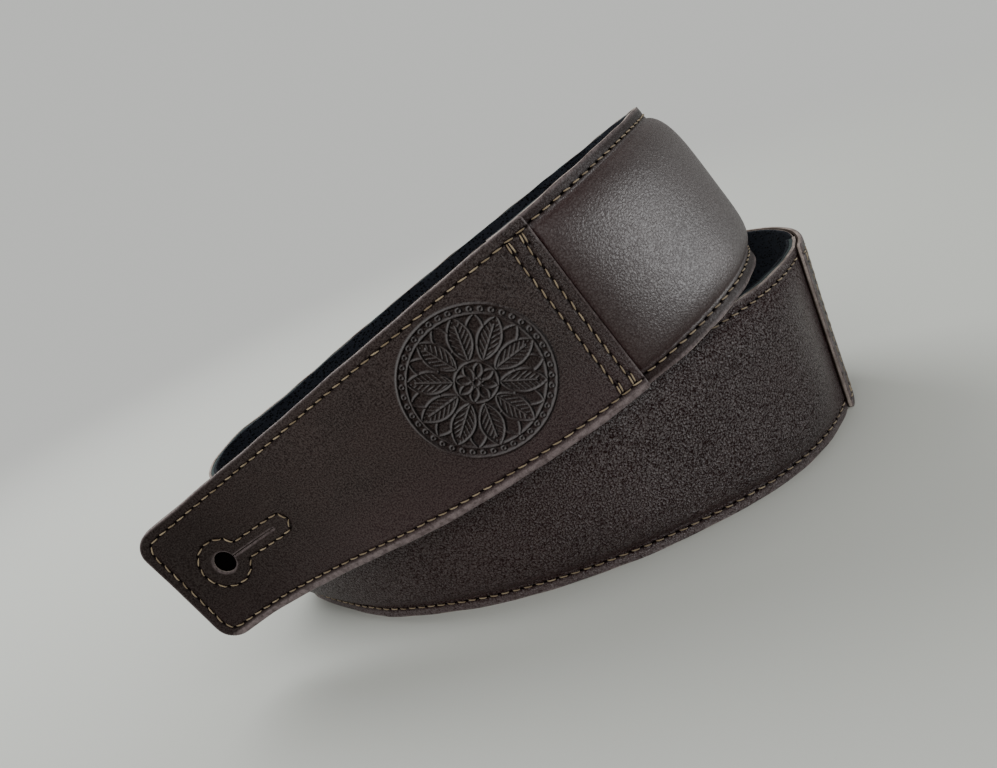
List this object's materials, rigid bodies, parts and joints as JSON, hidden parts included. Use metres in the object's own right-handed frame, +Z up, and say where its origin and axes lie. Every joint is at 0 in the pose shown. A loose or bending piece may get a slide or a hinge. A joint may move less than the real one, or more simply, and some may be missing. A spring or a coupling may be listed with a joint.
{
  "type": "guitar strap",
  "caption": "Wide padded leather guitar strap standing coiled on its edge, with a stitched front tab and a tail that have keyhole slots for strap buttons.",
  "frame": {"origin": "centre of the bounding box on the plane that the strap stands on", "axes": "+X along the coil's long direction, from the front tab's tip towards the right bend; +Y from the front tab towards the back of the coil; +Z up, along the width of the lower turn"},
  "size_m": [0.3018, 0.1652, 0.1515],
  "materials": {
    "end_leather": "matt dark brown oiled leather",
    "backing_leather": "rough suede side",
    "pad_leather": "smooth dark brown leather with a soft sheen",
    "padding_foam": "soft foam",
    "spacer_foam": "fine grey foam",
    "mesh_lining": "black woven mesh",
    "thread": "waxed tan thread"
  },
  "bodies": {
    "strap": {"lining_mesh": "mesh_lining", "lining_spacer_foam": "spacer_foam", "pad_cover_leather": "pad_leather", "pad_foam_core": "padding_foam", "pad_lower_stitching": "thread", "pad_upper_stitching": "thread"},
    "tab": {"tab_backing": "backing_leather", "tab_edge_stitching": "thread", "tab_keyhole_stitching": "thread", "tab_leather": "end_leather", "tab_seam_stitching": "thread"},
    "tail": {"tail_backing": "backing_leather", "tail_edge_stitching": "thread", "tail_keyhole_1_stitching": "thread", "tail_keyhole_2_stitching": "thread", "tail_keyhole_3_stitching": "thread", "tail_leather": "end_leather", "tail_seam_stitching": "thread"}
  },
  "joints": [
    {"name": "tab_flex", "type": "hinge", "parent": "strap", "child": "tab", "pos_m": [0.04637, -0.0772, 0.10364], "axis": [-0.2497, 0.0296, 0.9679], "range_deg": [0, 30]},
    {"name": "tail_flex", "type": "hinge", "parent": "strap", "child": "tail", "pos_m": [0.13901, -0.02858, 0.038], "axis": [0, 0, -1], "range_deg": [0, 25]}
  ]
}
